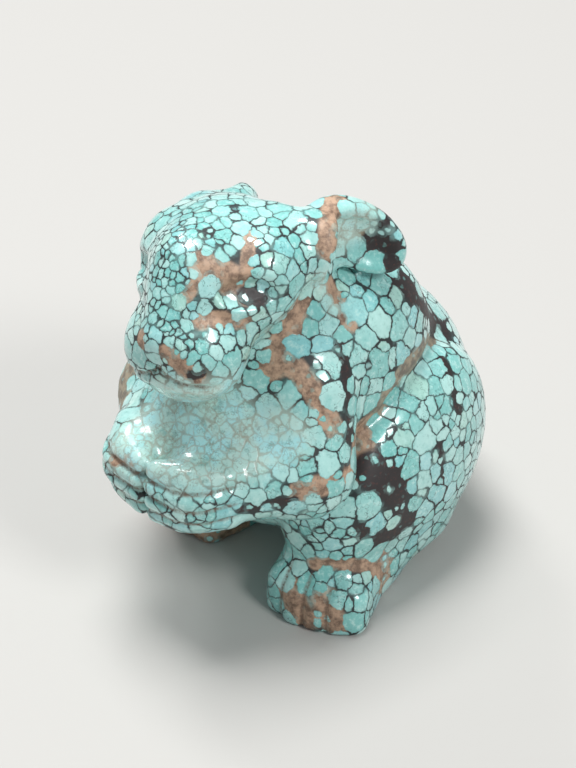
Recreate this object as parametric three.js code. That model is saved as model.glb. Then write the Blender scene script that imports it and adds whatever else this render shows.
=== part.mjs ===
// A small rabbit carved from one piece of veined turquoise, sitting with its forepaws pressed together.
// Millimetres, +Z up. The animal faces -Y and its own left side is +X.
// The stone is described as one distance function, negative inside, and that is turned into triangles.
import * as THREE from "three";

const GRID = 1.05;             // spacing of the lattice the triangles come from
const SMOOTHING_ROUNDS = 4;    // how often the triangles are evened out over the surface
const LOWEST = [-14.7, -20.1, -1.575];
const HIGHEST = [14.7, 17.1, 36];
const MIDDLE = [0.092, -1.039, 0];   // of the carving's outline on the ground, which becomes the origin

// Head: sizes are in the head's own frame, which is then turned a little to its left and tilted
const HEAD_CENTRE = [-0.2, -8.3, 26.6];
const HEAD_TURN = { yaw: 10, pitch: -4, roll: -6 };
const CRANIUM = [5.65, 6.3, 5.6];
const EYE_TURN = { yaw: -42, pitch: -10, roll: 12 };
const LOWER_LID = [
  [[2.75, -4.95, 2.2], 0.05], [[3.3, -4.8, 1.35], 0.16], [[3.85, -4.3, 0.8], 0.2], [[4.6, -3.4, 0.6], 0.18],
  [[5.4, -2.5, 0.8], 0.05],
];
const MOUTH_GROOVE = { depth: 0.42, width: 0.26 };
const LIP_GROOVE = { depth: 0.14, width: 0.3 };

// Ears: laid back, the left one raised further than the right one and open at its lower edge
const EAR_RIM = 0.7;
const EAR_DEPTH = 1.4;
const LEFT_EAR = {
  centre: [4.85, 0.2, 28.75], radii: [2.5, 4.2, 1.8],
  along: [0.52, 0.63, -0.57], out: [0.72, -0.3, 0.62], opened: 1.6,
};
const RIGHT_EAR = {
  centre: [-5.3, -2.6, 27.5], radii: [2.8, 4.3, 1.8],
  along: [-0.6, 0.55, -0.58], out: [-0.5, -0.3, 0.81], opened: 0,
};
const FOLDED_RIM = [
  [[1.2, -4.3, 30.6], 0.9], [[3, -4, 30.9], 0.95], [[4.8, -3.3, 30.7], 0.95], [[5.5, -3.6, 29.5], 0.8],
  [[5.4, -4, 28.6], 0.5],
];

// Forepaws: four fingers stacked on each, meeting at the middle
const FINGER_HEIGHTS = [15.4, 14.1, 12.8, 11.6];
const FINGER_GROOVES = { levels: [14.75, 13.45, 12.2], depth: 0.2, width: 0.22 };
const RIGHT_ARM_SHIFT = [0.35, 0, 0];

// Hind feet: where each toe lies and how far it is turned, and the grooves between them
const TOES = [
  { at: [5.4, -7], yaw: 8 }, { at: [7.2, -7.3], yaw: 14 },
  { at: [8.9, -6.7], yaw: 20 }, { at: [10.2, -5.7], yaw: 28 },
];
const TOE_HALF = [1.25, 2.2, 2];
const TOE_GROOVES = { lines: [[6.3, 0.1], [8.2, 0.16], [10.1, 0.24]], depth: 0.26, width: 0.22 };
const RIGHT_FOOT_SHIFT = [1.4, 2.2, 0];   // the right hind foot sits further in and back

// Grooves where the limbs and the head meet the body
const HAUNCH_GROOVE = { depth: 0.45, width: 0.55 };
const ARM_GROOVE = { depth: 0.25, width: 0.7 };
const NECK_GROOVE = { depth: 0.4, width: 0.8 };

const radians = THREE.MathUtils.degToRad;

// The three axes of a frame turned about Z, then X, then Y, in degrees
function turned({ yaw = 0, pitch = 0, roll = 0 }) {
  const turn = new THREE.Matrix4().makeRotationFromEuler(
    new THREE.Euler(radians(pitch), radians(roll), radians(yaw), "ZXY"));
  const axes = [new THREE.Vector3(), new THREE.Vector3(), new THREE.Vector3()];
  turn.extractBasis(...axes);
  return axes.map((axis) => axis.toArray());
}

// The axes of a flat shape whose length runs along one direction and whose face looks out along another
function facing(along, out) {
  const length = new THREE.Vector3(...along).normalize();
  const face = new THREE.Vector3(...out);
  face.addScaledVector(length, -face.dot(length)).normalize();
  const width = new THREE.Vector3().crossVectors(length, face);
  return [width, length, face].map((axis) => axis.toArray());
}

const UPRIGHT = turned({});

function ellipsoid([cx, cy, cz], [rx, ry, rz], [u, v, w] = UPRIGHT) {
  return (x, y, z) => {
    const px = x - cx, py = y - cy, pz = z - cz;
    const a = px * u[0] + py * u[1] + pz * u[2];
    const b = px * v[0] + py * v[1] + pz * v[2];
    const c = px * w[0] + py * w[1] + pz * w[2];
    const near = Math.hypot(a / rx, b / ry, c / rz);
    const slope = Math.hypot(a / (rx * rx), b / (ry * ry), c / (rz * rz));
    return near * (near - 1) / Math.max(slope, 1e-6);
  };
}

// A box with rounded edges
function block([cx, cy, cz], half, rounding, [u, v, w]) {
  const [hx, hy, hz] = half.map((value) => value - rounding);
  return (x, y, z) => {
    const px = x - cx, py = y - cy, pz = z - cz;
    const a = Math.abs(px * u[0] + py * u[1] + pz * u[2]) - hx;
    const b = Math.abs(px * v[0] + py * v[1] + pz * v[2]) - hy;
    const c = Math.abs(px * w[0] + py * w[1] + pz * w[2]) - hz;
    const outside = Math.hypot(Math.max(a, 0), Math.max(b, 0), Math.max(c, 0));
    return outside + Math.min(Math.max(a, b, c), 0) - rounding;
  };
}

// A rounded bar between two balls
function limb([ax, ay, az], [bx, by, bz], radiusA, radiusB) {
  const dx = bx - ax, dy = by - ay, dz = bz - az;
  const square = dx * dx + dy * dy + dz * dz;
  return (x, y, z) => {
    const px = x - ax, py = y - ay, pz = z - az;
    const t = Math.min(1, Math.max(0, (px * dx + py * dy + pz * dz) / square));
    return Math.hypot(px - t * dx, py - t * dy, pz - t * dz) - (radiusA + (radiusB - radiusA) * t);
  };
}

function smoothMin(a, b, rounding) {
  const h = Math.max(rounding - Math.abs(a - b), 0) / rounding;
  return Math.min(a, b) - h * h * rounding / 4;
}

// Joins shapes on one after another, each with its own rounding in the corner
function blend(first, ...others) {
  return (x, y, z) => others.reduce((d, [rounding, shape]) => smoothMin(d, shape(x, y, z), rounding),
    first(x, y, z));
}

function carve(body, ...cutters) {
  return (x, y, z) => cutters.reduce((d, [rounding, shape]) => -smoothMin(-d, shape(x, y, z), rounding),
    body(x, y, z));
}

// 0 at "start" and before, 1 at "end" and beyond, smooth between
function fade(value, start, end) {
  const t = Math.min(1, Math.max(0, (value - start) / (end - start)));
  return t * t * (3 - 2 * t);
}

// 1 where the value is 0, falling off beside it
function dent(value, width) {
  return Math.exp(-((value / width) ** 2));
}

// The shape with a groove where "line" is 1
function engraved(shape, depth, line) {
  return (x, y, z) => shape(x, y, z) + depth * line(x, y, z);
}

// Two shapes joined, with a groove along the line where they meet
function engravedJoin(a, b, rounding, { depth, width }, where) {
  return (x, y, z) => {
    const da = a(x, y, z);
    const db = b(x, y, z);
    return smoothMin(da, db, rounding) + depth * dent(da - db, width) * where(x, y, z);
  };
}

// A tapering tube through a row of points
function stroke(line) {
  const bars = line.slice(1).map(([point, radius], i) => limb(line[i][0], point, line[i][1], radius));
  return (x, y, z) => Math.min(...bars.map((bar) => bar(x, y, z)));
}

// The shape and its mirror image across x = 0; "soft" rounds the place where they meet
function bothSides(shape, soft = 0.02) {
  return (x, y, z) => shape(Math.hypot(x, soft), y, z);
}

function onTheRight(shape, [sx, sy, sz]) {
  return (x, y, z) => shape(-(x - sx), y - sy, z - sz);
}

function placed(shape, [ox, oy, oz], [u, v, w]) {
  return (x, y, z) => {
    const px = x - ox, py = y - oy, pz = z - oz;
    return shape(px * u[0] + py * u[1] + pz * u[2], px * v[0] + py * v[1] + pz * v[2],
      px * w[0] + py * w[1] + pz * w[2]);
  };
}

// The mouth and the groove between the two pads of the muzzle, in the head's own frame
function mouthLine(x, y, z) {
  const level = -2.5 - 1.4 * (1 - Math.exp(-Math.abs(x) / 1.2));
  return dent(z - level, MOUTH_GROOVE.width) * fade(Math.abs(x), 4.4, 2.6) * fade(y, -3, -5);
}

function lipLine(x, y, z) {
  return dent(x - 0.1, LIP_GROOVE.width) * fade(z, -0.6, -1.4) * fade(z, -4.6, -3.6) * fade(y, -5, -6);
}

function head() {
  const cranium = ellipsoid([-0.1, 0.5, 0.5], CRANIUM);
  const temples = bothSides(ellipsoid([3.75, 0.2, 1.6], [2.5, 3, 3.3]));
  const nose = limb([0, -3.9, 3.5], [0, -7.1, -0.6], 1.9, 1.6);
  const muzzle = ellipsoid([0.1, -4.7, -2.8], [4, 3.6, 3.2]);
  const pads = bothSides(ellipsoid([1.9, -5.2, -2.4], [2.25, 2.5, 2.65], turned({ yaw: -8 })), 0.1);
  const chin = ellipsoid([0, -4.4, -4.9], [3, 2.8, 1.7]);
  const slant = turned(EYE_TURN);
  const sockets = bothSides(ellipsoid([4.75, -3.6, 1.85], [1.4, 2.6, 1.05], slant));
  const eyeballs = bothSides(ellipsoid([3.45, -2.75, 0.95], [0.75, 2, 1], slant));
  const skull = blend(cranium, [1, temples], [2.6, nose], [1.5, muzzle], [1.6, pads], [0.5, chin]);
  const face = blend(carve(skull, [0.5, sockets]), [0.6, eyeballs], [0.7, bothSides(stroke(LOWER_LID))]);
  const lined = engraved(engraved(face, MOUTH_GROOVE.depth, mouthLine), LIP_GROOVE.depth, lipLine);
  return placed(lined, HEAD_CENTRE, turned(HEAD_TURN));
}

// An ear is a flattened egg with a hollow scooped out of it; "opened" moves the hollow to the lower edge
function ear({ centre, radii, along, out, opened }) {
  const axes = facing(along, out);
  const scoop = centre.map((value, i) =>
    value + opened * axes[0][i] + 0.3 * axes[1][i] + EAR_DEPTH * axes[2][i]);
  const hollow = [radii[0] - EAR_RIM + 0.6 * opened, radii[1] - EAR_RIM - 0.1, radii[2]];
  return { outer: ellipsoid(centre, radii, axes), hollow: ellipsoid(scoop, hollow, axes) };
}

function arm() {
  const upper = limb([5.6, -5.4, 19], [7.2, -7.6, 13.7], 3.4, 3.3);
  const fore = limb([6.9, -7.6, 13.4], [3.1, -13, 13.5], 3.4, 3.05);
  const palm = ellipsoid([2.75, -14.3, 13.5], [3.1, 3.2, 3], turned({ yaw: 38 }));
  const fingers = FINGER_HEIGHTS.map((z, i) => {
    const reach = 0.2 * Math.min(i, FINGER_HEIGHTS.length - 1 - i);
    const tip = [0.95, -16.5 - reach, z];
    const middle = [2.7, -15.9 - 0.8 * reach, z];
    const root = [5.2, -13.7 - 0.6 * reach, z];
    return [0.9, stroke([[tip, 0.8], [middle, 0.9], [root, 0.7]])];
  });
  return blend(blend(upper, [1.4, fore]), [0.8, blend(palm, ...fingers)]);
}

function fingerLines(x, y, z) {
  const { levels, width } = FINGER_GROOVES;
  const lines = levels.reduce((sum, level) => sum + dent(z - level - 0.04 * Math.abs(x), width), 0);
  return lines * fade(0.5 * Math.abs(x) + y, -9.5, -11.5) * fade(z, 17.5, 16.5);
}

function toeLines(x, y, z) {
  const { lines, width } = TOE_GROOVES;
  const between = lines.reduce((sum, [at, slant]) => sum + dent(x - at + slant * (y + 9), width), 0);
  return between * fade(y, -6.6, -8.4) * fade(z, 5.5, 4);
}

function hindFoot() {
  const sole = block([7.2, -4.3, 1.5], [3.8, 4.7, 2.35], 1.9, turned({ yaw: 18, pitch: -4 }));
  const heel = limb([8.2, 3.6, 3.2], [7.8, -1, 2.4], 2.5, 2.6);
  const toes = TOES.map(({ at: [x, y], yaw }) =>
    [0.9, block([x, y, 1.3], TOE_HALF, 0.9, turned({ yaw, pitch: -8 }))]);
  return engraved(blend(sole, [1.5, heel], ...toes), TOE_GROOVES.depth, toeLines);
}

function haunch() {
  const thigh = ellipsoid([6.8, 2.9, 9.5], [5.1, 9.2, 8.5], turned({ yaw: 4, pitch: 12, roll: -6 }));
  const knee = ellipsoid([7.1, -2.7, 9.4], [4.1, 4.5, 4.6], turned({ pitch: 20 }));
  const shin = limb([6.2, -3.9, 8.4], [6.9, -4.5, 4.4], 4.2, 3.3);
  return blend(thigh, [2, knee], [2, shin]);
}

// Where the grooves around the haunches, the arms and the neck are cut
const haunchReach = (x, y, z) => fade(z, 9, 12) * fade(y, 11, 8) * fade(y, -9, -7.5);
const armReach = (x, y, z) => fade(z, 24.5, 20) * fade(z, 11, 12.5) * fade(y, -9, -6);
const neckReach = (x, y, z) => fade(Math.abs(x), 2, 4.5) * fade(z, 31, 29.5);

function carving() {
  const rump = ellipsoid([0, 4.3, 9.9], [9.6, 10.6, 10.3]);
  const ribs = ellipsoid([0, -1.6, 16.6], [8.6, 9, 9.4], turned({ pitch: 15 }));
  const flanks = bothSides(ellipsoid([3.3, 1.2, 19.7], [5.2, 6.8, 6], turned({ pitch: -18 })), 1.5);
  const neck = limb([0, -4, 21], [0, -5.5, 25], 6.8, 5.4);
  const chest = ellipsoid([0, -9.2, 15], [6, 4.8, 4.8]);
  const belly = ellipsoid([0, -3.8, 9.5], [6.5, 5.6, 5.6]);
  const trunk = blend(rump, [4, ribs], [2, flanks], [2.5, neck], [2, chest], [2, belly]);
  const tail = ellipsoid([0, 13.2, 5], [2.3, 2.2, 2.7], turned({ pitch: -25 }));

  const leftArm = arm();
  const arms = blend(leftArm, [0.15, onTheRight(leftArm, RIGHT_ARM_SHIFT)]);
  const foot = hindFoot();
  const armed = engravedJoin(trunk, arms, 1.6, ARM_GROOVE, armReach);
  const seated = engravedJoin(armed, bothSides(haunch()), 0.6, HAUNCH_GROOVE, haunchReach);
  const footed = blend(seated, [1.6, foot], [1.6, onTheRight(foot, RIGHT_FOOT_SHIFT)]);
  const headed = engravedJoin(footed, head(), 0.8, NECK_GROOVE, neckReach);

  const left = ear(LEFT_EAR);
  const right = ear(RIGHT_EAR);
  const leftRoot = limb([2.4, -4.8, 29.4], [4.6, -3.4, 29.2], 1.9, 1.8);
  const rightRoot = limb([-4.4, -5.8, 29.3], [-4.6, -4, 28.6], 1.7, 1.7);
  const eared = blend(headed, [0.6, tail], [1, left.outer], [2.2, leftRoot], [1.3, stroke(FOLDED_RIM)],
    [1.2, rightRoot], [1, right.outer]);
  const hollowed = carve(eared, [0.8, left.hollow], [0.4, right.hollow]);
  const finished = engraved(hollowed, FINGER_GROOVES.depth, fingerLines);
  return (x, y, z) => Math.max(finished(x, y, z), -z);   // ground flat underneath, so it sits at z = 0
}

// Moves a point onto the surface along the slope of the distance function
function ontoSurface(shape, point) {
  const step = 0.02;
  for (let round = 0; round < 4; round += 1) {
    const [x, y, z] = point;
    const d = shape(x, y, z);
    const slope = [
      (shape(x + step, y, z) - shape(x - step, y, z)) / (2 * step),
      (shape(x, y + step, z) - shape(x, y - step, z)) / (2 * step),
      (shape(x, y, z + step) - shape(x, y, z - step)) / (2 * step),
    ];
    const square = slope[0] ** 2 + slope[1] ** 2 + slope[2] ** 2;
    const move = Math.max(-0.4, Math.min(0.4, d / Math.max(square, 0.25)));
    for (let axis = 0; axis < 3; axis += 1) point[axis] -= move * slope[axis];
  }
}

// The twelve edges of a lattice cell, each as its first corner and the axis it runs along
const CELL_EDGES = [0, 1, 2].flatMap((axis) => [[0, 0], [1, 0], [0, 1], [1, 1]].map(([p, q]) => {
  const corner = [0, 0, 0];
  corner[(axis + 1) % 3] = p;
  corner[(axis + 2) % 3] = q;
  return { corner, axis };
}));

// The six sides of a cell: four corners in a ring, and the edge that follows each corner
const CELL_SIDES = [0, 1, 2].flatMap((axis) => [0, 1].map((level) => {
  const ring = [[0, 0], [1, 0], [1, 1], [0, 1]].map(([p, q]) => {
    const corner = [0, 0, 0];
    corner[axis] = level;
    corner[(axis + 1) % 3] = p;
    corner[(axis + 2) % 3] = q;
    return corner;
  });
  const edges = ring.map((corner, side) => {
    const next = ring[(side + 1) % 4];
    return CELL_EDGES.findIndex((edge) => edge.corner.every((bit, n) => bit === Math.min(corner[n], next[n]))
      && corner[edge.axis] !== next[edge.axis]);
  });
  return { ring, edges };
}));

// Sorts the cut edges of a cell into sheets, so that two surfaces passing through one cell stay apart
function sheetsOfCell(isInside, isCut) {
  const sheet = CELL_EDGES.map((edge, n) => (isCut[n] ? n : -1));
  const join = (a, b) => {
    const [keep, drop] = [sheet[a], sheet[b]];
    sheet.forEach((label, n) => { if (label === drop) sheet[n] = keep; });
  };
  for (const { ring, edges } of CELL_SIDES) {
    const cut = edges.filter((edge) => isCut[edge]);
    if (cut.length === 2) join(cut[0], cut[1]);
    if (cut.length === 4)
      ring.forEach((corner, side) => { if (isInside(corner)) join(edges[side], edges[(side + 3) % 4]); });
  }
  return sheet;
}

// A point for every sheet in every lattice cell, joined in fours around the lattice edges they share
function surfaceNet(shape) {
  const count = LOWEST.map((low, axis) => Math.ceil((HIGHEST[axis] - low) / GRID) + 1);
  const at = ([i, j, k]) => (k * count[1] + j) * count[0] + i;
  const plus = (a, b) => a.map((value, axis) => value + b[axis]);
  const place = (index) => index.map((n, axis) => LOWEST[axis] + GRID * n);
  const value = new Float64Array(count[0] * count[1] * count[2]);
  const cells = [];
  for (let k = 0; k < count[2]; k += 1)
    for (let j = 0; j < count[1]; j += 1)
      for (let i = 0; i < count[0]; i += 1) {
        value[at([i, j, k])] = shape(...place([i, j, k]));
        if (i + 1 < count[0] && j + 1 < count[1] && k + 1 < count[2]) cells.push([i, j, k]);
      }

  const points = [];
  const pointsOfCell = new Map();
  for (const cell of cells) {
    const isInside = (corner) => value[at(plus(cell, corner))] < 0;
    const far = ({ corner, axis }) => corner.map((bit, n) => (n === axis ? 1 : bit));
    const isCut = CELL_EDGES.map((edge) => isInside(edge.corner) !== isInside(far(edge)));
    if (!isCut.includes(true)) continue;
    const sheet = sheetsOfCell(isInside, isCut);
    const pointOfSheet = new Map();
    for (const label of new Set(sheet.filter((n) => n >= 0))) {
      const crossings = CELL_EDGES.filter((edge, n) => sheet[n] === label).map(({ corner, axis }) => {
        const from = value[at(plus(cell, corner))];
        const to = value[at(plus(cell, far({ corner, axis })))];
        const crossing = plus(cell, corner);
        crossing[axis] += from / (from - to);
        return place(crossing);
      });
      pointOfSheet.set(label, points.length);
      points.push([0, 1, 2].map((n) => crossings.reduce((sum, p) => sum + p[n], 0) / crossings.length));
    }
    pointsOfCell.set(at(cell), sheet.map((label) => pointOfSheet.get(label)));
  }

  const faces = [];
  for (const cell of cells) {
    if (cell.includes(0)) continue;
    for (let axis = 0; axis < 3; axis += 1) {
      const inside = value[at(cell)] < 0;
      const next = cell.map((index, n) => (n === axis ? index + 1 : index));
      if (inside === value[at(next)] < 0) continue;
      const ring = [[0, 0], [1, 0], [1, 1], [0, 1]].map(([p, q]) => {
        const corner = [0, 0, 0];
        corner[(axis + 1) % 3] = p;
        corner[(axis + 2) % 3] = q;
        const edge = CELL_EDGES.findIndex((other) => other.axis === axis
          && other.corner.every((bit, n) => bit === corner[n]));
        return pointsOfCell.get(at(cell.map((index, n) => index - corner[n])))[edge];
      });
      faces.push(inside ? ring : ring.reverse());
    }
  }
  return { points, faces };
}

// Evens out the spacing of the points, keeping them on the surface
function relax(shape, points, faces) {
  for (let round = 0; round < SMOOTHING_ROUNDS; round += 1) {
    const sums = points.map(() => [0, 0, 0, 0]);
    for (const ring of faces)
      ring.forEach((n, side) => {
        const next = points[ring[(side + 1) % 4]];
        for (let axis = 0; axis < 3; axis += 1) sums[n][axis] += next[axis];
        sums[n][3] += 1;
      });
    points.forEach((point, n) => {
      for (let axis = 0; axis < 3; axis += 1) point[axis] += 0.5 * (sums[n][axis] / sums[n][3] - point[axis]);
    });
    for (const point of points) ontoSurface(shape, point);
  }
  for (const point of points) if (point[2] < 0.12) point[2] = 0;
}

// Slides the outermost point on each side along the surface, to where the stone really ends
function reachOut(shape, points) {
  for (const [axis, sign] of [[0, -1], [0, 1], [1, -1], [1, 1], [2, 1]]) {
    const outermost = points.reduce((best, point) => (sign * point[axis] > sign * best[axis] ? point : best));
    for (let round = 0; round < 30; round += 1) {
      outermost[axis] += 0.3 * sign;
      ontoSurface(shape, outermost);
    }
  }
}

function toGeometry(points, faces) {
  const distance = (a, b) => Math.hypot(...points[a].map((value, axis) => value - points[b][axis]));
  const index = faces.flatMap(([a, b, c, d]) => (distance(a, c) < distance(b, d)
    ? [a, b, c, a, c, d] : [b, c, d, b, d, a]));
  const geometry = new THREE.BufferGeometry();
  geometry.setAttribute("position", new THREE.Float32BufferAttribute(points.flat(), 3));
  geometry.setIndex(index);
  geometry.translate(...MIDDLE.map((value) => -value));
  geometry.computeVertexNormals();
  return geometry;
}

const shape = carving();
const { points, faces } = surfaceNet(shape);
relax(shape, points, faces);
reachOut(shape, points);

const stone = new THREE.MeshStandardMaterial({ color: 0x68c4bc, roughness: 0.25 });
const rabbit = new THREE.Mesh(toGeometry(points, faces), stone);
rabbit.name = "rabbit_carving";

const part = new THREE.Group();
part.name = "turquoise_rabbit";
part.add(rabbit);
export default part;
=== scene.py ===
"""A small rabbit carved from polished web turquoise, on a pale floor in soft studio light.

The carving is sculpted again from the CAD model's shapes on a finer lattice, so that its eyes, mouth,
fingers and toes are geometry. Its stone is one procedural material: nuggets of turquoise in a web of
dark lines, with brown and black host rock along named veins and patches.
"""

import math

import bpy
import numpy as np
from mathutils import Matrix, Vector


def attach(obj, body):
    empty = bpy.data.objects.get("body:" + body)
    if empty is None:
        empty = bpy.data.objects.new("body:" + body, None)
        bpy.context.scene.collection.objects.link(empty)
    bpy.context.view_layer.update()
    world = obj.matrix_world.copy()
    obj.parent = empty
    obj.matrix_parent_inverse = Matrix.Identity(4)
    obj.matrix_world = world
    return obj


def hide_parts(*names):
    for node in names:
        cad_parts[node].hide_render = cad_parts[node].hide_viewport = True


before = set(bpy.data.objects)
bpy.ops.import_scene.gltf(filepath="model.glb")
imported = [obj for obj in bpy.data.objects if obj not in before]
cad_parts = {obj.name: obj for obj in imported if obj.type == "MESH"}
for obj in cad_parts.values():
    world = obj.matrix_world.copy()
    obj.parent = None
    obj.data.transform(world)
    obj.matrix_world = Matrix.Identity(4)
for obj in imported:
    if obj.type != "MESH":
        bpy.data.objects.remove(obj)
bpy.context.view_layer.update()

MM = 0.001
MIDDLE = np.array((0.092, -1.039, 0.0))   # the frame's origin in the sculpt's mm, as in the CAD model

GRID = 0.45              # spacing of the lattice in mm, before each square is split in four
LOWEST = (-14.7, -20.1, -1.4)
HIGHEST = (14.7, 17.1, 35.0)
RELAX_ROUNDS, RELAX_SHARE = 3, 0.5
POLISH_ROUNDS, POLISH_SHARE = 2, 0.4
SLOPE_STEP = 0.03        # how far apart the surface's slope is measured, in mm
LARGEST_SLIDE = 0.3      # how far one round moves a point onto the surface, in mm
GROUND_CONTACT = 0.06    # points lower than this are put on the ground

CAMERA_TARGET = (-5.09, 4.02, 8.49)
CAMERA_AZIMUTH, CAMERA_ELEVATION = 42.0, 37.0
CAMERA_DISTANCE = 200.0
CAMERA_LENS = 120.0

# Lights: name, azimuth and elevation in degrees, distance and size in m, power in W
LIGHTS = [("overhead", -100, 78, 0.45, 0.2, 2.2),
          ("side", 88, 42, 0.5, 0.13, 1.0),
          ("front_left", -108, 42, 0.5, 0.1, 0.5)]
LIGHTS_AIM = (0, 0, 0.015)
FLOOR_HALF = 1.0


# Shapes: each is a function that gives the signed distance in mm at an (n, 3) array of points

def vec(*values):
    return np.array(values, np.float32)


def length(v):
    return np.sqrt((v * v).sum(-1))


def fade(value, start, end):
    """0 at start and before, 1 at end and beyond, smooth between."""
    t = np.clip((value - start) / (end - start), 0, 1)
    return t * t * (3 - 2 * t)


def dent(value, width):
    """1 where value is 0, falling off beside it."""
    return np.exp(-((value / width) ** 2))


def turned(yaw=0.0, pitch=0.0, roll=0.0):
    """Axes turned about Z, then X, then Y, in degrees, one in each column."""
    y, p, r = np.radians([yaw, pitch, roll])
    about_z = np.array([[np.cos(y), -np.sin(y), 0], [np.sin(y), np.cos(y), 0], [0, 0, 1]])
    about_x = np.array([[1, 0, 0], [0, np.cos(p), -np.sin(p)], [0, np.sin(p), np.cos(p)]])
    about_y = np.array([[np.cos(r), 0, np.sin(r)], [0, 1, 0], [-np.sin(r), 0, np.cos(r)]])
    return (about_z @ about_x @ about_y).astype(np.float32)


def facing(along, out):
    """Axes of a flat shape whose length runs one way and whose face looks out another way."""
    run = np.array(along, float)
    run /= np.linalg.norm(run)
    face = np.array(out, float)
    face -= run * (face @ run)
    face /= np.linalg.norm(face)
    return np.stack([np.cross(run, face), run, face], 1).astype(np.float32)


def ellipsoid(centre, radii, axes=None):
    c, r = vec(*centre), vec(*radii)

    def distance(points):
        q = points - c if axes is None else (points - c) @ axes
        near = length(q / r)
        return near * (near - 1) / np.maximum(length(q / (r * r)), 1e-6)

    return distance


def block(centre, half, rounding, axes):
    """A box with rounded edges."""
    c, h = vec(*centre), vec(*half) - np.float32(rounding)

    def distance(points):
        q = np.abs((points - c) @ axes) - h
        return length(np.maximum(q, 0)) + np.minimum(q.max(-1), 0) - rounding

    return distance


def limb(start, end, start_radius, end_radius):
    a, run = vec(*start), vec(*end) - vec(*start)
    square = float(run @ run)

    def distance(points):
        t = np.clip(((points - a) @ run) / square, 0, 1)
        return length(points - a - t[..., None] * run) - (start_radius + (end_radius - start_radius) * t)

    return distance


def stroke(points, radii):
    """A tapering tube through a row of points."""
    bars = [limb(a, b, ra, rb) for a, b, ra, rb in zip(points, points[1:], radii, radii[1:])]
    return lambda at: np.min([bar(at) for bar in bars], 0)


def smooth_min(a, b, rounding):
    h = np.maximum(rounding - np.abs(a - b), 0) / rounding
    return np.minimum(a, b) - h * h * rounding / 4


def blend(first, *others):
    """Joins shapes on one after another, each with its own rounding in the corner."""

    def distance(points):
        d = first(points)
        for rounding, shape in others:
            d = smooth_min(d, shape(points), rounding)
        return d

    return distance


def carve(body, *cutters):
    def distance(points):
        d = body(points)
        for rounding, cutter in cutters:
            d = -smooth_min(-d, cutter(points), rounding)
        return d

    return distance


def engraved(shape, depth, line):
    """The shape with a groove of the given depth where line is 1."""
    return lambda points: shape(points) + depth * line(points)


def engraved_join(a, b, rounding, depth, width, where):
    """Two shapes joined, with a groove along the line where they meet."""

    def distance(points):
        da, db = a(points), b(points)
        return smooth_min(da, db, rounding) + depth * dent(da - db, width) * where(points)

    return distance


def both_sides(shape, soft=0.02):
    """The shape and its mirror image across x = 0; soft rounds the place where they meet."""

    def distance(points):
        mirrored = points.copy()
        mirrored[..., 0] = np.sqrt(points[..., 0] ** 2 + soft * soft)
        return shape(mirrored)

    return distance


def on_the_right(shape, shift):
    return lambda points: shape((points - vec(*shift)) * vec(-1, 1, 1))


def placed(shape, at, axes):
    return lambda points: shape((points - vec(*at)) @ axes)


# The rabbit in mm: it faces -Y, its own left is +X, and the ground is z = 0

HEAD_CENTRE, HEAD_AXES = (-0.2, -8.3, 26.6), turned(10, -4, -6)
FINGER_HEIGHTS = (15.4, 14.1, 12.8, 11.6)
FINGER_GROOVES = (14.75, 13.45, 12.2)
TOES = ((5.4, -7.0, 8), (7.2, -7.3, 14), (8.9, -6.7, 20), (10.2, -5.7, 28))
TOE_GROOVES = ((6.3, 0.10), (8.2, 0.16), (10.1, 0.24))
RIGHT_FOOT_SHIFT = (1.4, 2.2, 0.0)


def mouth_line(points):
    x = np.abs(points[..., 0])
    level = -2.5 - 1.4 * (1 - np.exp(-x / 1.2))
    return dent(points[..., 2] - level, 0.26) * fade(x, 4.4, 2.6) * fade(points[..., 1], -3.0, -5.0)


def lip_line(points):
    """The groove between the two pads of the muzzle."""
    x, y, z = points[..., 0], points[..., 1], points[..., 2]
    return dent(x - 0.1, 0.3) * fade(z, -0.6, -1.4) * fade(z, -4.6, -3.6) * fade(y, -5.0, -6.0)


def head():
    cranium = ellipsoid((-0.1, 0.5, 0.5), (5.65, 6.3, 5.6))
    temples = both_sides(ellipsoid((3.75, 0.2, 1.6), (2.5, 3.0, 3.3)))
    nose = limb((0, -3.9, 3.5), (0, -7.1, -0.6), 1.9, 1.6)
    muzzle = ellipsoid((0.1, -4.7, -2.8), (4.0, 3.6, 3.2))
    pads = both_sides(ellipsoid((1.9, -5.2, -2.4), (2.25, 2.5, 2.65), turned(-8)), 0.1)
    chin = ellipsoid((0, -4.4, -4.9), (3.0, 2.8, 1.7))
    slant = turned(-42, -10, 12)
    sockets = both_sides(ellipsoid((4.75, -3.6, 1.85), (1.4, 2.6, 1.05), slant))
    eyeballs = both_sides(ellipsoid((3.45, -2.75, 0.95), (0.75, 2.0, 1.0), slant))
    lower_lids = both_sides(stroke(
        [(2.75, -4.95, 2.2), (3.3, -4.8, 1.35), (3.85, -4.3, 0.8), (4.6, -3.4, 0.6), (5.4, -2.5, 0.8)],
        [0.05, 0.16, 0.2, 0.18, 0.05]))
    skull = blend(cranium, (1.0, temples), (2.6, nose), (1.5, muzzle), (1.6, pads), (0.5, chin))
    face = blend(carve(skull, (0.5, sockets)), (0.6, eyeballs), (0.7, lower_lids))
    face = engraved(engraved(face, 0.42, mouth_line), 0.14, lip_line)
    return placed(face, HEAD_CENTRE, HEAD_AXES)


def ear(centre, radii, axes, opened):
    """An ear's outer shape, and the hollow scooped out of it; opened moves the hollow to the lower edge."""
    across, along, out = axes.T
    scoop = np.array(centre) + opened * across + 0.3 * along + 1.4 * out
    return (ellipsoid(centre, radii, axes),
            ellipsoid(scoop, (radii[0] - 0.7 + 0.6 * opened, radii[1] - 0.8, radii[2]), axes))


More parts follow.
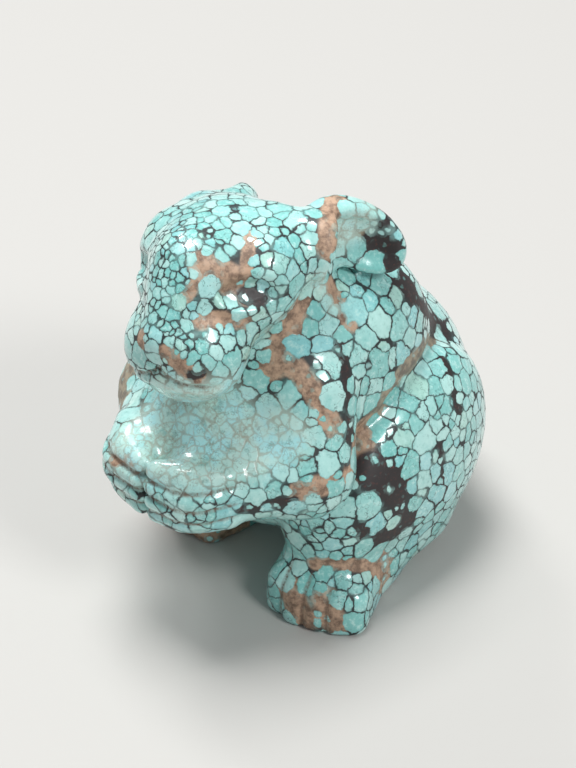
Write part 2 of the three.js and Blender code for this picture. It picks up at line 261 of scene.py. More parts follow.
def arm():
    upper = limb((5.6, -5.4, 19.0), (7.2, -7.6, 13.7), 3.4, 3.3)
    fore = limb((6.9, -7.6, 13.4), (3.1, -13.0, 13.5), 3.4, 3.05)
    palm = ellipsoid((2.75, -14.3, 13.5), (3.1, 3.2, 3.0), turned(38))
    fingers = []
    for i, z in enumerate(FINGER_HEIGHTS):
        reach = 0.2 * min(i, len(FINGER_HEIGHTS) - 1 - i)
        fingers.append((0.9, stroke(
            [(0.95, -16.5 - reach, z), (2.7, -15.9 - 0.8 * reach, z), (5.2, -13.7 - 0.6 * reach, z)],
            [0.8, 0.9, 0.7])))
    return blend(blend(upper, (1.4, fore)), (0.8, blend(palm, *fingers)))


def finger_lines(points):
    x, y, z = np.abs(points[..., 0]), points[..., 1], points[..., 2]
    lines = sum(dent(z - level - 0.04 * x, 0.22) for level in FINGER_GROOVES)
    return lines * fade(x * 0.5 + y, -9.5, -11.5) * fade(z, 17.5, 16.5)


def toe_lines(points):
    x, y, z = points[..., 0], points[..., 1], points[..., 2]
    lines = sum(dent(x - at + slant * (y + 9), 0.22) for at, slant in TOE_GROOVES)
    return lines * fade(y, -6.6, -8.4) * fade(z, 5.5, 4.0)


def hind_foot():
    sole = block((7.2, -4.3, 1.5), (3.8, 4.7, 2.35), 1.9, turned(18, -4))
    heel = limb((8.2, 3.6, 3.2), (7.8, -1.0, 2.4), 2.5, 2.6)
    toes = [(0.9, block((x, y, 1.3), (1.25, 2.2, 2.0), 0.9, turned(yaw, -8))) for x, y, yaw in TOES]
    return engraved(blend(sole, (1.5, heel), *toes), 0.26, toe_lines)


def haunch():
    thigh = ellipsoid((6.8, 2.9, 9.5), (5.1, 9.2, 8.5), turned(4, 12, -6))
    knee = ellipsoid((7.1, -2.7, 9.4), (4.1, 4.5, 4.6), turned(pitch=20))
    shin = limb((6.2, -3.9, 8.4), (6.9, -4.5, 4.4), 4.2, 3.3)
    return blend(thigh, (2.0, knee), (2.0, shin))


def haunch_line(points):
    y, z = points[..., 1], points[..., 2]
    return fade(z, 9.0, 12.0) * fade(y, 11.0, 8.0) * fade(y, -9.0, -7.5)


def arm_line(points):
    y, z = points[..., 1], points[..., 2]
    return fade(z, 24.5, 20.0) * fade(z, 11.0, 12.5) * fade(y, -9.0, -6.0)


def neck_line(points):
    return fade(np.abs(points[..., 0]), 2.0, 4.5) * fade(points[..., 2], 31.0, 29.5)


def carving():
    rump = ellipsoid((0, 4.3, 9.9), (9.6, 10.6, 10.3))
    ribs = ellipsoid((0, -1.6, 16.6), (8.6, 9.0, 9.4), turned(pitch=15))
    flanks = both_sides(ellipsoid((3.3, 1.2, 19.7), (5.2, 6.8, 6.0), turned(pitch=-18)), 1.5)
    neck = limb((0, -4, 21), (0, -5.5, 25), 6.8, 5.4)
    chest = ellipsoid((0, -9.2, 15.0), (6.0, 4.8, 4.8))
    belly = ellipsoid((0, -3.8, 9.5), (6.5, 5.6, 5.6))
    trunk = blend(rump, (4, ribs), (2, flanks), (2.5, neck), (2.0, chest), (2.0, belly))
    tail = ellipsoid((0, 13.2, 5.0), (2.3, 2.2, 2.7), turned(pitch=-25))

    left_arm = arm()
    arms = blend(left_arm, (0.15, on_the_right(left_arm, (0.35, 0, 0))))
    body = engraved_join(trunk, arms, 1.6, 0.25, 0.7, arm_line)
    body = engraved_join(body, both_sides(haunch()), 0.6, 0.45, 0.55, haunch_line)
    foot = hind_foot()
    body = blend(body, (1.6, foot), (1.6, on_the_right(foot, RIGHT_FOOT_SHIFT)))
    body = engraved_join(body, head(), 0.8, 0.4, 0.8, neck_line)

    left_ear, left_hollow = ear((4.85, 0.2, 28.75), (2.5, 4.2, 1.8),
                                facing((0.52, 0.63, -0.57), (0.72, -0.30, 0.62)), 1.6)
    right_ear, right_hollow = ear((-5.3, -2.6, 27.5), (2.8, 4.3, 1.8),
                                  facing((-0.60, 0.55, -0.58), (-0.50, -0.30, 0.81)), 0.0)
    left_root = limb((2.4, -4.8, 29.4), (4.6, -3.4, 29.2), 1.9, 1.8)
    right_root = limb((-4.4, -5.8, 29.3), (-4.6, -4.0, 28.6), 1.7, 1.7)
    folded_rim = stroke(
        [(1.2, -4.3, 30.6), (3.0, -4.0, 30.9), (4.8, -3.3, 30.7), (5.5, -3.6, 29.5), (5.4, -4.0, 28.6)],
        [0.9, 0.95, 0.95, 0.8, 0.5])
    body = blend(body, (0.6, tail), (1.0, left_ear), (2.2, left_root), (1.3, folded_rim),
                 (1.2, right_root), (1.0, right_ear))
    body = carve(body, (0.8, left_hollow), (0.4, right_hollow))
    body = engraved(body, 0.3, finger_lines)
    return lambda points: np.maximum(body(points), -points[..., 2])


# Mesh

def surface_net(shape):
    """One point in every lattice cell that the surface passes through, and the squares that join them."""
    axes = [np.arange(low, high, GRID, np.float32) for low, high in zip(LOWEST, HIGHEST)]
    lattice = np.stack(np.meshgrid(*axes, indexing="ij"), -1)
    value = shape(lattice.reshape(-1, 3)).reshape(lattice.shape[:3])
    cells = np.array(value.shape) - 1
    total, count = np.zeros((*cells, 3)), np.zeros(cells)
    cuts = []
    for axis in range(3):
        ends = [np.s_[:]] * 3
        ends[axis] = np.s_[:-1]
        a, start = value[tuple(ends)], lattice[tuple(ends)]
        ends[axis] = np.s_[1:]
        b = value[tuple(ends)]
        cut = (a < 0) != (b < 0)
        crossing = start.astype(float)
        crossing[..., axis] += GRID * np.where(cut, a / np.where(cut, a - b, 1), 0)
        cuts.append((cut, a < 0))
        u, v = [n for n in range(3) if n != axis]
        for p in (0, 1):
            for q in (0, 1):
                part = [np.s_[:]] * 3
                part[u] = np.s_[p:p + cells[u]]
                part[v] = np.s_[q:q + cells[v]]
                part = tuple(part)
                total += crossing[part] * cut[part][..., None]
                count += cut[part]
    used = count > 0
    number = np.full(cells, -1)
    number[used] = np.arange(used.sum())
    points = total[used] / count[used][:, None]

    squares = []
    for axis, (cut, inside) in enumerate(cuts):
        u, v = (axis + 1) % 3, (axis + 2) % 3
        at = np.argwhere(cut)
        starts_inside = inside[tuple(at.T)]
        ring = []
        for p, q in ((0, 0), (1, 0), (1, 1), (0, 1)):
            cell = at.copy()
            cell[:, u] -= p
            cell[:, v] -= q
            ring.append(number[tuple(cell.T)])
        ring = np.stack(ring, 1)
        squares.append(np.where(starts_inside[:, None], ring, ring[:, ::-1]))
    return points, np.concatenate(squares)


def split(points, squares):
    """Each square becomes four."""
    sides = np.sort(np.stack([squares, np.roll(squares, -1, 1)], -1).reshape(-1, 2), 1)
    edges, side_edge = np.unique(sides, axis=0, return_inverse=True)
    middles = len(points) + side_edge.reshape(-1, 4)
    centres = len(points) + len(edges) + np.arange(len(squares))
    finer = np.concatenate([points, points[edges].mean(1), points[squares].mean(1)])
    corners = [squares, middles, np.repeat(centres[:, None], 4, 1), np.roll(middles, 1, 1)]
    return finer, np.stack(corners, -1).reshape(-1, 4)


def evened(points, squares, share):
    """Each point moved part of the way to the middle of its neighbours."""
    sides = np.sort(np.stack([squares, np.roll(squares, -1, 1)], -1).reshape(-1, 2), 1)
    a, b = np.unique(sides, axis=0).T
    ends, others = np.concatenate([a, b]), np.concatenate([b, a])
    count = np.bincount(ends, minlength=len(points))
    middle = np.stack([np.bincount(ends, points[others, n], len(points)) / count for n in range(3)], 1)
    return points + share * (middle - points)


def onto_surface(shape, points, rounds):
    """Points slid along the shape's slope until they lie on its surface."""
    moves = SLOPE_STEP * np.eye(3, dtype=np.float32)
    for _ in range(rounds):
        at = points.astype(np.float32)
        slope = [(shape(at + move) - shape(at - move)) / (2 * SLOPE_STEP) for move in moves]
        slope = np.stack(slope, -1).astype(float)
        square = np.maximum((slope ** 2).sum(-1), 0.25)
        slide = np.clip(shape(at) / square, -LARGEST_SLIDE, LARGEST_SLIDE)
        points = points - slide[:, None] * slope
    return points


def sculpt(shape):
    points, squares = surface_net(shape)
    for _ in range(RELAX_ROUNDS):
        points = onto_surface(shape, evened(points, squares, RELAX_SHARE), 1)
    points, squares = split(points, squares)
    points = onto_surface(shape, points, 3)
    for _ in range(POLISH_ROUNDS):
        points = evened(points, squares, POLISH_SHARE)
    on_ground = points[:, 2] < GROUND_CONTACT
    points[on_ground, 2] = 0
    return points, squares


# The stone's web, in mm: rows of points on the surface, each with the distance that it reaches

BROWN = [
    # brow and inner corner of the left eye
    ([(2.0, -12.6, 31.5), (3.0, -11.6, 30.8), (3.5, -10.9, 30.0)], 0.7),
    ([(2.6, -8.4, 32.0), (3.4, -9.5, 31.3), (3.8, -10.1, 30.6)], 0.35),
    ([(2.1, -14.2, 29.7), (2.3, -13.1, 30.6), (2.4, -12.3, 31.2)], 0.35),
    ([(3.0, -11.4, 29.6), (3.6, -10.8, 29.1), (4.2, -10.5, 28.7)], 0.5),
    # below the eye, and behind the cheek
    ([(3.2, -14.0, 28.0), (3.8, -12.7, 27.9), (4.6, -11.1, 27.1)], 0.45),
    ([(5.0, -5.9, 26.4), (5.0, -6.9, 24.8), (5.0, -7.8, 23.6), (4.8, -8.7, 22.0)], 0.75),
    # neck, shoulder and flank
    ([(4.8, -8.4, 22.6), (6.1, -7.6, 22.0), (7.6, -7.5, 20.8), (8.9, -7.3, 18.9), (9.4, -7.0, 17.8)], 0.6),
    ([(5.1, -2.9, 26.2), (6.2, -2.7, 24.6), (6.9, -2.8, 23.6)], 0.5),
    # left ear, and the hollow of the right one
    ([(3.9, -1.0, 31.7), (5.5, -3.1, 31.6), (6.2, -4.2, 30.4)], 0.75),
    ([(-5.1, -2.6, 27.3), (-6.2, -1.2, 26.4)], 1.7),
    # muzzle and mouth
    ([(2.3, -16.6, 26.4), (2.9, -16.3, 25.9), (3.6, -16.0, 25.4)], 0.45),
    ([(3.6, -16.0, 25.1), (4.3, -15.6, 24.7)], 0.45),
    ([(0.0, -16.7, 26.8), (0.1, -16.8, 26.2)], 0.4),
    # lower forearm and right paw
    ([(9.2, -10.6, 14.3), (9.9, -9.8, 14.6), (10.3, -8.9, 14.7)], 0.65),
    ([(-2.7, -17.1, 14.7), (-1.2, -17.2, 15.4)], 0.4),
    # heel, instep and toes
    ([(10.7, -3.5, 4.1), (10.8, -2.8, 2.8), (11.0, -3.3, 2.2)], 0.9),
    ([(8.0, -7.6, 5.2), (9.6, -6.6, 5.4), (10.5, -4.8, 4.6)], 0.45),
    ([(7.2, -9.3, 2.8), (7.9, -9.4, 2.1), (8.6, -9.3, 1.2)], 0.9),
    ([(9.7, -8.3, 3.0), (10.2, -8.4, 2.2), (10.7, -8.4, 1.2)], 0.8),
    ([(-3.5, -6.5, 2.0), (-7.0, -5.5, 2.5), (-6.5, 0.0, 2.5)], 3.2),
    # foot of the haunch crease
    ([(8.6, -3.0, 15.0), (9.2, -4.3, 13.6), (9.7, -5.2, 13.2)], 0.75),
    ([(8.4, -2.4, 15.6), (9.9, -5.9, 15.7), (10.6, -7.0, 14.5)], 0.5),
]

# Grey-brown host rock: the bevel of the haunch crease, the back of the shoulder and the right shoulder
GREY = [
    ([(5.9, 8.7, 16.9), (8.0, 4.4, 18.4), (8.8, 1.2, 18.3), (8.8, -0.6, 17.1), (8.4, -2.4, 15.6)], 0.7),
    ([(-7.3, -11.8, 14.8), (-8.3, -10.7, 15.0), (-8.5, -9.9, 15.9)], 1.1),
    ([(6.6, -4.6, 24.6), (5.9, -5.2, 27.4)], 0.45),
]

DARK = [
    ([(7.2, -4.2, 22.7), (8.1, -4.7, 21.3), (9.0, -5.2, 19.4), (9.5, -5.5, 17.1), (10.2, -6.8, 15.5)], 0.35),
    ([(6.2, 1.7, 29.4), (6.2, 1.6, 28.9), (5.6, 1.0, 27.8)], 0.8),
    ([(7.1, 1.7, 27.2), (6.8, 1.4, 26.9), (6.9, 2.5, 25.3), (6.6, 3.9, 23.5), (7.1, 4.7, 21.9)], 0.85),
    ([(7.1, 4.7, 21.9), (6.9, 5.6, 20.4), (6.4, 6.8, 18.9), (5.7, 9.0, 16.7)], 1.0),
    ([(8.5, 5.9, 16.5), (9.7, 5.5, 15.5), (10.5, 5.2, 14.2), (10.9, 5.3, 13.2)], 0.3),
    ([(10.1, -3.9, 12.9), (11.0, -3.1, 11.9), (11.3, -2.6, 11.0)], 1.05),
    ([(11.5, -2.5, 10.9), (11.7, -2.6, 9.6), (11.7, -2.2, 8.2)], 0.5),
    ([(10.9, -5.2, 8.2), (11.2, -4.1, 7.4), (11.4, -2.6, 7.1), (11.5, -1.0, 6.8)], 0.85),
    ([(11.5, 2.3, 12.2), (11.9, 2.3, 10.1), (11.9, 2.7, 7.4)], 0.18),
    # outer corner of the left eye: partly dark rock, partly black painted as the shadow that the brow's
    # overhang casts there
    ([(4.1, -10.5, 28.8), (4.6, -10.2, 28.5), (5.0, -9.9, 28.3)], 0.5),
    ([(4.4, -15.4, 25.1), (4.0, -15.8, 24.9)], 0.3),
    ([(6.4, -13.8, 13.2), (7.7, -12.1, 13.3), (9.0, -10.9, 13.7)], 0.22),
]

# Where the stone is cloudy and the web nearly fades out
PALE = [
    ([(-0.7, -13.4, 17.3), (3.2, -12.3, 17.7), (3.6, -14.7, 22.0)], 3.0),
    ([(6.4, -9.9, 17.6), (3.4, -14.7, 16.6), (-1.5, -16.5, 16.0)], 2.3),
    ([(4.6, 0.6, 29.6), (5.2, -1.4, 29.4)], 1.5),
    ([(5.6, -4.2, 28.0), (6.6, -3.4, 25.6)], 1.1),
]

# Spacing of the nuggets, with the rows around which it holds
SPACING = 0.9
SPACINGS = [
    (0.75, [([(0.0, -8.0, 32.0), (4.0, -8.0, 31.0), (0.0, -12.0, 31.0)], 4.0)]),
    (0.48, [([(0.0, -12.5, 32.0), (0.0, -15.5, 28.0), (2.5, -15.0, 26.0)], 2.5)]),
    (1.2, [([(8.0, 0.0, 22.0), (8.0, 3.0, 20.0)], 4.5)]),
    (0.72, [([(10.0, 8.0, 12.0), (9.0, 11.0, 8.0)], 4.0), ([(9.5, -7.0, 7.0), (8.0, -8.0, 10.0)], 2.5)]),
    (0.6, PALE),
]
SEED = 7
SIZE_SPREAD = 0.38       # how much the nuggets' sizes vary around their spacing
LARGEST_SPREAD = 1.6     # how many spreads a size may lie from its spacing
ROCK_SPACING = 0.8       # spacing of the places in the host rock that hold no nugget
LOOSE = (0.15, 0.45)     # share of nuggets that lie loose in the host rock, and their size
CANDIDATES = 6           # nuggets that are looked at for each face
SIZE_WEIGHT = 0.4        # how far a larger nugget pushes its web lines outwards
HALOS = [(BROWN + GREY, 1.3), (DARK, 2.0)]   # how far the web is thicker around the rock, in its reaches


def near_rows(points, rows, softness):
    """1 along a row of points, 0 beyond its reach."""
    most = np.zeros(len(points))
    for row, reach in rows:
        along = stroke(row, [0.0] * len(row))(points.astype(np.float32))
        most = np.maximum(most, fade(along, reach * (1 + softness), reach * (1 - softness)))
    return most


def carved_lines(points):
    """1 in the lines that part the fingers, the toes and the lips."""
    on_the_head = (points - vec(*HEAD_CENTRE)) @ HEAD_AXES
    right_foot = (points - vec(*RIGHT_FOOT_SHIFT)) * vec(-1, 1, 1)
    lines = [finger_lines(points), toe_lines(points), toe_lines(right_foot), mouth_line(on_the_head)]
    return np.max(lines, 0)


def scatter_nuggets(points, random):
    """Middles and sizes of nuggets over the surface, with only a few small ones in the host rock."""
    loose_share, loose_size = LOOSE
    spacing = np.full(len(points), SPACING)
    for value, rows in SPACINGS:
        share = near_rows(points, rows, 0.3)
        spacing += share * (value - spacing)
    spread = np.clip(random.normal(size=len(points)), -LARGEST_SPREAD, LARGEST_SPREAD)
    spacing *= np.exp(SIZE_SPREAD * spread)
    rock = near_rows(points, BROWN + GREY + DARK, 0.1) > 0.5
    loose = random.random(len(points)) < loose_share
    spacing[rock] = np.where(loose, 1.2 * loose_size, ROCK_SPACING)[rock]
    free = np.ones(len(points), bool)
    chosen = []
    for n in random.permutation(len(points)):
        if free[n]:
            chosen.append(n)
            free[((points - points[n]) ** 2).sum(1) < spacing[n] ** 2] = False
    chosen = np.array(chosen)
    sizes = np.where(rock, np.where(loose, loose_size, 0.0), spacing)[chosen]
    return points[chosen], sizes


def nearest_nuggets(places, middles, sizes):
    """For each place, the numbers of the nuggets that can reach it."""
    found = []
    for part in np.array_split(places, 100):      # in parts, to keep the table of distances small
        square = (part ** 2).sum(1)[:, None] + (middles ** 2).sum(1) - 2 * part @ middles.T
        reach = np.sqrt(np.maximum(square, 0)) - SIZE_WEIGHT * sizes
        found.append(np.argpartition(reach, CANDIDATES, axis=1)[:, :CANDIDATES])
    return np.concatenate(found)


def write_attribute(mesh, name, kind, domain, values):
    made = mesh.attributes.new(name, kind, domain)
    field = "vector" if kind == "FLOAT_VECTOR" else "value"
    made.data.foreach_set(field, np.asarray(values, np.float32).ravel())


def make_rabbit():
    points, squares = sculpt(carving())
    mesh = bpy.data.meshes.new("rabbit_stone")
    mesh.from_pydata(((points - MIDDLE) * MM).tolist(), [], squares.tolist())
    mesh.shade_smooth()
    halo = [(row, reach * widening) for rows, widening in HALOS for row, reach in rows]
    for name, rows, softness in (("brown", BROWN, 0.8), ("grey", GREY, 0.8), ("dark", DARK, 0.8),
                                 ("halo", halo, 0.5), ("pale", PALE, 0.4)):
        write_attribute(mesh, name, "FLOAT", "POINT", near_rows(points, rows, softness))
    write_attribute(mesh, "groove", "FLOAT", "POINT", carved_lines(points.astype(np.float32)))
    middles, sizes = scatter_nuggets(points, np.random.default_rng(SEED))
    near = nearest_nuggets(points[squares].mean(1), middles, sizes)
    for n in range(CANDIDATES):
        write_attribute(mesh, f"nugget_{n}", "FLOAT_VECTOR", "FACE", middles[near[:, n]] - MIDDLE)
        write_attribute(mesh, f"size_{n}", "FLOAT", "FACE", sizes[near[:, n]])
    piece = bpy.data.objects.new("rabbit_stone", mesh)
    bpy.context.scene.collection.objects.link(piece)
    return piece


# Stone

class Tree:
    """Short ways to add shader nodes; a value is a number or another node's socket."""

    def __init__(self, material):
        self.nodes, self.links = material.node_tree.nodes, material.node_tree.links

    def plug(self, value, socket):
        if isinstance(value, bpy.types.NodeSocket):
            self.links.new(value, socket)
        else:
            socket.default_value = value

    def add(self, kind, inputs=None, **settings):
        node = self.nodes.new("ShaderNode" + kind)
        for name, value in settings.items():
            setattr(node, name, value)
        for name, value in (inputs or {}).items():
            self.plug(value, node.inputs[name])
        return node

    def maths(self, operation, *values):
        return self.add("Math", dict(enumerate(values)), operation=operation).outputs[0]

    def vector(self, operation, *values):
        return self.add("VectorMath", dict(enumerate(values)), operation=operation).outputs[0]

    def scaled(self, value, scale):
        return self.add("VectorMath", {0: value, "Scale": scale}, operation="SCALE").outputs[0]

    def noise(self, where, scale, detail=2.0, rough=0.5):
        made = self.add("TexNoise", {"Vector": where, "Scale": scale, "Detail": detail, "Roughness": rough})
        return made.outputs["Fac"], made.outputs["Color"]

    def span(self, value, start, end, low=0.0, high=1.0):
        """low where value is start, high where it is end, smooth between."""
        made = self.add("MapRange", {"Value": value, "From Min": start, "From Max": end,
                                     "To Min": low, "To Max": high}, interpolation_type="SMOOTHSTEP")
        return made.outputs["Result"]

    def mix(self, share, a, b, kind="RGBA"):
        made = self.add("Mix", data_type=kind)
        first = {"FLOAT": 2, "VECTOR": 4, "RGBA": 6}[kind]
        for socket, value in zip((made.inputs[0], made.inputs[first], made.inputs[first + 1]), (share, a, b)):
            self.plug(value, socket)
        return made.outputs[first // 2 - 1]

    def attribute(self, name, output="Fac"):
        return self.add("Attribute", attribute_name=name).outputs[output]


def colour(red, green, blue):
    """A colour from screen values from 11 to 255."""
    return (*[((c / 255 + 0.055) / 1.055) ** 2.4 for c in (red, green, blue)], 1.0)


TURQUOISE = colour(128, 200, 194)
PALE_TURQUOISE = colour(196, 236, 230)
BLUE_TURQUOISE = colour(146, 212, 218)
GREENISH = colour(156, 206, 186)
TEAL = colour(80, 138, 132)
MILKY = colour(200, 232, 222)
MILKY_BLUE = colour(180, 236, 240)
SMEAR = colour(152, 140, 118)
LINE = colour(28, 38, 38)
TERRACOTTA = colour(188, 156, 130)
UMBER = colour(116, 92, 74)
OCHRE = colour(160, 148, 126)
SLATE = colour(112, 104, 92)
BLACKISH = colour(34, 26, 26)
OXBLOOD = colour(90, 46, 38)

WINDINGS = [(0.5, 1.0), (0.28, 2.3), (0.14, 5.0)]   # how far the web lines wind in mm, and how often
THIN_LINE, THICK_LINE = 0.014, 0.066                # half widths of the web lines in mm
ROUGHNESS = (0.22, 0.58)                            # of polished stone, and of web lines and rock
COAT = (0.6, 0.04)
COAT_ROUGHNESS = 0.08
REFRACTION = 1.6
BUMP_DEPTH = 0.03                                   # in mm


FAR = 1000.0


def web(t, place, halo):
    """Room to the nearest web line in mm inside the nugget at each place, and four random numbers of it."""
    nearest = None
    for n in range(CANDIDATES):
        middle, size = t.attribute(f"nugget_{n}", "Vector"), t.attribute(f"size_{n}")
        apart = t.add("VectorMath", {0: place, 1: middle}, operation="DISTANCE").outputs["Value"]
        reach = t.maths("MULTIPLY_ADD", size, -SIZE_WEIGHT, apart)
        if nearest is None:
            nearest, second = (reach, apart, size, middle), FAR
            continue
        closer = t.maths("LESS_THAN", reach, nearest[0])
        second = t.maths("MINIMUM", second, t.maths("MAXIMUM", reach, nearest[0]))
        nearest = (t.maths("MINIMUM", reach, nearest[0]), t.mix(closer, nearest[1], apart, "FLOAT"),
                   t.mix(closer, nearest[2], size, "FLOAT"), t.mix(closer, nearest[3], middle, "VECTOR"))
    reach, apart, size, middle = nearest
    room = t.maths("MULTIPLY", t.maths("SUBTRACT", second, reach), 0.5)
    cap = t.maths("MULTIPLY", size, t.span(halo, 0.0, 1.0, 1.0, 0.7))
    room = t.maths("MINIMUM", room, t.maths("SUBTRACT", cap, apart))
    chance = t.add("TexWhiteNoise", {"Vector": middle}, noise_dimensions="3D")
    parts = t.add("SeparateColor", {"Color": chance.outputs["Color"]})
    return room, [chance.outputs["Value"], *parts.outputs[:3]]


def nugget_tone(t, mm, chances, past):
    """Each nugget has a tone of its own, is mottled, and is a little darker towards its edge."""
    cloud = t.noise(mm, 0.5, 3.0, 0.6)[0]
    mottle = t.noise(mm, 2.2, 5.0, 0.7)[0]
    tone = t.mix(t.span(chances[0], 0.0, 1.0, 0.0, 0.85), TURQUOISE, PALE_TURQUOISE)
    tone = t.mix(t.span(chances[1], 0.8, 1.0, 0.0, 0.55), tone, GREENISH)
    tone = t.mix(t.span(chances[2], 0.7, 1.0, 0.0, 0.6), tone, BLUE_TURQUOISE)
    tone = t.mix(t.span(cloud, 0.45, 0.7, 0.0, 0.5), tone, TURQUOISE)
    tone = t.mix(t.span(mottle, 0.48, 0.68, 0.0, 0.65), tone, PALE_TURQUOISE)
    tone = t.mix(t.span(mottle, 0.46, 0.3, 0.0, 0.35), tone, TEAL)
    return t.mix(t.span(past, 0.0, 0.14, 0.3, 0.0), tone, TEAL)


def cloudy_tone(t, mm):
    """The stone of the chest and forearms, with hardly any web in it."""
    tone = t.mix(t.span(t.noise(mm, 0.3, 3.0, 0.6)[0], 0.46, 0.6), MILKY, MILKY_BLUE)
    tone = t.mix(t.span(t.noise(mm, 1.3, 6.0, 0.75)[0], 0.48, 0.64, 0.0, 0.85), tone, PALE_TURQUOISE)
    tone = t.mix(t.span(t.noise(mm, 1.0, 6.0, 0.75)[0], 0.48, 0.34, 0.0, 0.5), tone, TEAL)
    smear = t.maths("MULTIPLY", t.span(t.noise(mm, 0.5, 3.0)[0], 0.46, 0.62),
                    t.span(t.noise(mm, 2.2, 5.0, 0.7)[0], 0.45, 0.6, 0.0, 0.55))
    return t.mix(smear, tone, SMEAR)


def hairline(t, mm, scale, width):
    """1 along thin winding lines."""
    away = t.maths("ABSOLUTE", t.maths("SUBTRACT", t.noise(mm, scale, 3.0, 0.6)[0], 0.5))
    return t.span(away, 0.0, width, 1.0, 0.0)


def wound(t, mm):
    """Places shifted a little to and fro, which makes the web lines wind."""
    place = mm
    for amount, scale in WINDINGS:
        shift = t.vector("SUBTRACT", t.noise(mm, scale)[1], (0.5, 0.5, 0.5))
        place = t.vector("ADD", place, t.scaled(shift, amount))
    return place


def stone_tone(t, mm, chances, past, pale):
    """The nuggets with their fine cracks, and the cloudy stone with its scratches."""
    crack = t.maths("MULTIPLY", hairline(t, mm, 0.8, 0.012), t.span(chances[3], 0.4, 0.6, 0.0, 0.5))
    nuggets = t.mix(crack, nugget_tone(t, mm, chances, past), LINE)
    scratch = t.maths("MULTIPLY", hairline(t, mm, 0.9, 0.014), 0.5)
    cloudy = t.mix(scratch, cloudy_tone(t, mm), UMBER)
    return t.mix(t.maths("MULTIPLY", pale, 0.8), nuggets, cloudy)


def rock_tone(t, mm, speck, pale):
    """The web lines, and along the rows the grey, brown or black host rock."""
    blotch = t.noise(mm, 1.3, 6.0, 0.7)[0]
    kinds = [("grey", t.mix(t.span(blotch, 0.38, 0.6), SLATE, OCHRE)),
             ("brown", t.mix(t.span(blotch, 0.36, 0.62), UMBER, TERRACOTTA)),
             ("dark", t.mix(t.span(speck, 0.54, 0.7, 0.0, 0.85), BLACKISH, OXBLOOD))]
    rock = t.mix(pale, LINE, SMEAR)
    for name, kind in kinds:
        rock = t.mix(t.span(t.attribute(name), 0.02, 0.4), rock, kind)
    return rock


def turquoise():
    material = bpy.data.materials.new("web_turquoise")
    material.use_nodes = True
    t = Tree(material)
    shader = t.nodes["Principled BSDF"]
    mm = t.scaled(t.add("TexCoord").outputs["Object"], 1 / MM)
    halo, pale, groove = t.attribute("halo"), t.attribute("pale"), t.attribute("groove")
    speck = t.noise(mm, 3.2, 5.0, 0.7)[0]

    room, chances = web(t, wound(t, mm), halo)
    half_width = t.span(t.noise(mm, 0.9, 2.0)[0], 0.35, 0.7, THIN_LINE, THICK_LINE)
    half_width = t.maths("MULTIPLY_ADD", halo, 0.04, half_width)
    past = t.maths("SUBTRACT", room, half_width)
    line = t.span(past, -0.02, 0.045, 1.0, 0.0)
    faint = t.span(pale, 0.0, 0.9, 1.0, 0.5)
    faint = t.maths("MULTIPLY", faint, t.span(t.noise(mm, 0.7, 3.0)[0], 0.3, 0.55, 0.55, 1.0))
    solid_rock = t.maths("MULTIPLY", t.span(room, -0.05, -0.2), t.span(halo, 0.3, 0.9))
    shown = t.maths("MULTIPLY", line, t.maths("MAXIMUM", faint, solid_rock))

    stone = t.mix(shown, stone_tone(t, mm, chances, past, pale), rock_tone(t, mm, speck, pale))
    # Patchy umber brown and a duller finish along the carved grooves of the fingers, toes and mouth
    brown_in_grooves = t.maths("MULTIPLY", t.span(groove, 0.35, 0.9), t.span(speck, 0.4, 0.6, 0.35, 0.9))
    dull = t.maths("MAXIMUM", shown, brown_in_grooves)
    height = t.maths("MULTIPLY_ADD", t.noise(mm, 6.0, 3.0, 0.6)[0], 0.1, t.maths("SUBTRACT", 1.0, shown))
    height = t.maths("MULTIPLY_ADD", t.noise(mm, 1.1, 2.0)[0], 0.8, height)
    bump = t.add("Bump", {"Height": height, "Strength": 0.5, "Distance": BUMP_DEPTH * MM})

    t.plug(t.mix(brown_in_grooves, stone, UMBER), shader.inputs["Base Color"])
    t.plug(t.span(dull, 0.0, 1.0, *ROUGHNESS), shader.inputs["Roughness"])
    t.plug(t.span(dull, 0.0, 1.0, *COAT), shader.inputs["Coat Weight"])
    t.plug(bump.outputs["Normal"], shader.inputs["Normal"])
    t.plug(COAT_ROUGHNESS, shader.inputs["Coat Roughness"])
    t.plug(REFRACTION, shader.inputs["IOR"])
    return material


# Scene

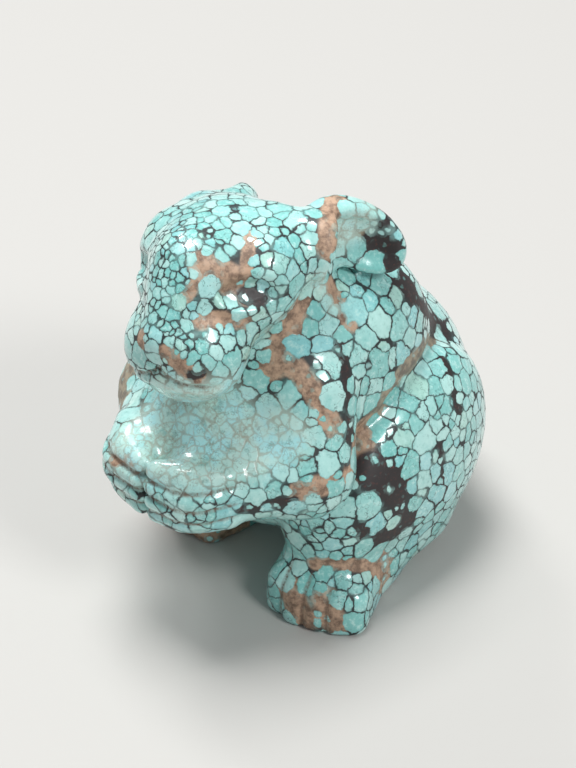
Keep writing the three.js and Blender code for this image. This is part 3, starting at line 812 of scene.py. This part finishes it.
def direction(azimuth, elevation):
    """Unit vector from the object towards the viewer; azimuth 0 is the rabbit's front, 90 its left."""
    a, e = math.radians(azimuth), math.radians(elevation)
    return Vector((math.sin(a) * math.cos(e), -math.cos(a) * math.cos(e), math.sin(e)))


def aimed(thing, location, target):
    made = bpy.data.objects.new(thing.name, thing)
    bpy.context.scene.collection.objects.link(made)
    made.location = location
    made.rotation_euler = (Vector(target) - Vector(location)).to_track_quat("-Z", "Y").to_euler()
    return made


def make_camera():
    lens = bpy.data.cameras.new("camera")
    lens.lens = CAMERA_LENS
    lens.clip_start, lens.clip_end = 0.01, 10
    target = Vector(np.array(CAMERA_TARGET) - MIDDLE) * MM
    eye = target + direction(CAMERA_AZIMUTH, CAMERA_ELEVATION) * CAMERA_DISTANCE * MM
    bpy.context.scene.camera = aimed(lens, eye, target)


def make_light(name, azimuth, elevation, distance, size, power):
    light = bpy.data.lights.new(name, "AREA")
    light.size = size
    light.energy = power
    target = Vector(LIGHTS_AIM)
    aimed(light, target + direction(azimuth, elevation) * distance, target)


def make_floor():
    half = FLOOR_HALF
    mesh = bpy.data.meshes.new("floor")
    corners = [(-half, -half, 0), (half, -half, 0), (half, half, 0), (-half, half, 0)]
    mesh.from_pydata(corners, [], [(0, 1, 2, 3)])
    material = bpy.data.materials.new("pale_floor")
    material.use_nodes = True
    shader = material.node_tree.nodes["Principled BSDF"]
    shader.inputs["Base Color"].default_value = colour(188, 186, 182)
    shader.inputs["Roughness"].default_value = 0.7
    mesh.materials.append(material)
    floor = bpy.data.objects.new("floor", mesh)
    bpy.context.scene.collection.objects.link(floor)


def make_world():
    world = bpy.data.worlds.new("studio")
    world.use_nodes = True
    sky = world.node_tree.nodes["Background"]
    sky.inputs["Color"].default_value = (0.9, 0.95, 1.0, 1)
    sky.inputs["Strength"].default_value = 0.32
    bpy.context.scene.world = world


make_camera()
rabbit = make_rabbit()
rabbit.data.materials.append(turquoise())
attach(rabbit, "root")
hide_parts("rabbit_carving")

make_floor()
make_world()
for light in LIGHTS:
    make_light(*light)
bpy.context.scene.view_settings.view_transform = "Standard"
